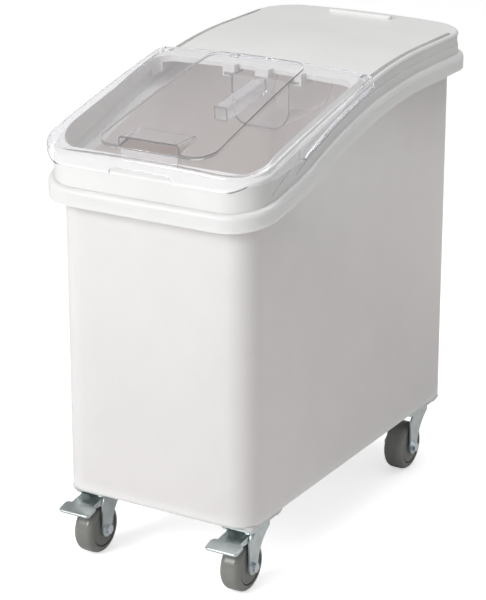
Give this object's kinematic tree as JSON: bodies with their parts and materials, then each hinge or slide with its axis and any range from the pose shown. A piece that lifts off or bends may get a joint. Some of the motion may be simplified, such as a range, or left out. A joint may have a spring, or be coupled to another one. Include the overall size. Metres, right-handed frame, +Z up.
{
  "type": "mobile ingredient bin",
  "caption": "Tall white bin for dry ingredients with a slant-top cover, a sliding clear lid, a hanging clear scoop and swivel casters, two of them with foot brakes.",
  "frame": {"origin": "on the floor, under the middle of the bin's rim", "axes": "+X to the right seen from the front, +Y towards the rear, +Z up; the clear lid and the brake pedals are at the front, on -Y"},
  "size_m": [0.3626, 0.6706, 0.711],
  "materials": {
    "white_plastic": "satin white moulded plastic",
    "clear_plastic": "clear moulded plastic, polished",
    "zinc_steel": "zinc-plated steel",
    "bright_zinc": "bright zinc plate",
    "wheel_plastic": "dark grey moulded plastic",
    "wheel_tread": "dark grey hard tread, slightly glossy",
    "black_rubber": "matt black rubber",
    "brass": "plain turned brass"
  },
  "bodies": {
    "tub": {"bin_body": "white_plastic", "caster_inserts": "brass", "caster_screws": "zinc_steel", "front_left_plate": "zinc_steel", "front_left_race": "zinc_steel", "front_left_kingpin": "zinc_steel", "front_right_plate": "zinc_steel", "front_right_race": "zinc_steel", "front_right_kingpin": "zinc_steel", "rear_left_plate": "zinc_steel", "rear_left_race": "zinc_steel", "rear_left_kingpin": "zinc_steel", "rear_right_plate": "zinc_steel", "rear_right_race": "zinc_steel", "rear_right_kingpin": "zinc_steel"},
    "cover": {"lid_frame": "white_plastic"},
    "clear_lid": {"sliding_lid": "clear_plastic"},
    "scoop": {"scoop": "clear_plastic"},
    "front_left_swivel": {"front_left_fork": "zinc_steel", "front_left_sleeve": "zinc_steel", "front_left_axle_bolt": "bright_zinc", "front_left_axle_nut": "bright_zinc", "front_left_brake_pivot": "zinc_steel"},
    "front_left_wheel": {"front_left_hub": "wheel_plastic", "front_left_tyre": "wheel_tread"},
    "front_left_brake": {"front_left_brake_pedal": "zinc_steel", "front_left_brake_shoe": "black_rubber"},
    "front_right_swivel": {"front_right_fork": "zinc_steel", "front_right_sleeve": "zinc_steel", "front_right_axle_bolt": "bright_zinc", "front_right_axle_nut": "bright_zinc", "front_right_brake_pivot": "zinc_steel"},
    "front_right_wheel": {"front_right_hub": "wheel_plastic", "front_right_tyre": "wheel_tread"},
    "front_right_brake": {"front_right_brake_pedal": "zinc_steel", "front_right_brake_shoe": "black_rubber"},
    "rear_left_swivel": {"rear_left_fork": "zinc_steel", "rear_left_sleeve": "zinc_steel", "rear_left_axle_bolt": "bright_zinc", "rear_left_axle_nut": "bright_zinc"},
    "rear_left_wheel": {"rear_left_hub": "wheel_plastic", "rear_left_tyre": "wheel_tread"},
    "rear_right_swivel": {"rear_right_fork": "zinc_steel", "rear_right_sleeve": "zinc_steel", "rear_right_axle_bolt": "bright_zinc", "rear_right_axle_nut": "bright_zinc"},
    "rear_right_wheel": {"rear_right_hub": "wheel_plastic", "rear_right_tyre": "wheel_tread"}
  },
  "joints": [
    {"name": "cover_lift", "type": "slide", "parent": "tub", "child": "cover", "axis": [0, 0, 1], "range_m": [0, 0.15]},
    {"name": "lid_slide", "type": "hinge", "parent": "cover", "child": "clear_lid", "pos_m": [0, 0.169, -0.284], "axis": [-1, 0, 0], "range_deg": [0, 15]},
    {"name": "scoop_slide", "type": "slide", "parent": "cover", "child": "scoop", "axis": [0, -1, 0], "range_m": [0, 0.03]},
    {"name": "front_left_swivel_turn", "type": "hinge", "parent": "tub", "child": "front_left_swivel", "pos_m": [-0.124, -0.251, 0.09], "axis": [0, 0, 1], "continuous": true},
    {"name": "front_left_wheel_turn", "type": "hinge", "parent": "front_left_swivel", "child": "front_left_wheel", "pos_m": [-0.124, -0.277, 0.0381], "axis": [1, 0, 0], "continuous": true},
    {"name": "front_left_brake_press", "type": "hinge", "parent": "front_left_swivel", "child": "front_left_brake", "pos_m": [-0.124, -0.276, 0.085], "axis": [1, 0, 0], "range_deg": [0, 9]},
    {"name": "front_right_swivel_turn", "type": "hinge", "parent": "tub", "child": "front_right_swivel", "pos_m": [0.124, -0.251, 0.09], "axis": [0, 0, 1], "continuous": true},
    {"name": "front_right_wheel_turn", "type": "hinge", "parent": "front_right_swivel", "child": "front_right_wheel", "pos_m": [0.124, -0.277, 0.0381], "axis": [1, 0, 0], "continuous": true},
    {"name": "front_right_brake_press", "type": "hinge", "parent": "front_right_swivel", "child": "front_right_brake", "pos_m": [0.124, -0.276, 0.085], "axis": [1, 0, 0], "range_deg": [0, 9]},
    {"name": "rear_left_swivel_turn", "type": "hinge", "parent": "tub", "child": "rear_left_swivel", "pos_m": [-0.124, 0.251, 0.09], "axis": [0, 0, 1], "continuous": true},
    {"name": "rear_left_wheel_turn", "type": "hinge", "parent": "rear_left_swivel", "child": "rear_left_wheel", "pos_m": [-0.124, 0.225, 0.0381], "axis": [1, 0, 0], "continuous": true},
    {"name": "rear_right_swivel_turn", "type": "hinge", "parent": "tub", "child": "rear_right_swivel", "pos_m": [0.124, 0.251, 0.09], "axis": [0, 0, 1], "continuous": true},
    {"name": "rear_right_wheel_turn", "type": "hinge", "parent": "rear_right_swivel", "child": "rear_right_wheel", "pos_m": [0.124, 0.225, 0.0381], "axis": [1, 0, 0], "continuous": true}
  ]
}
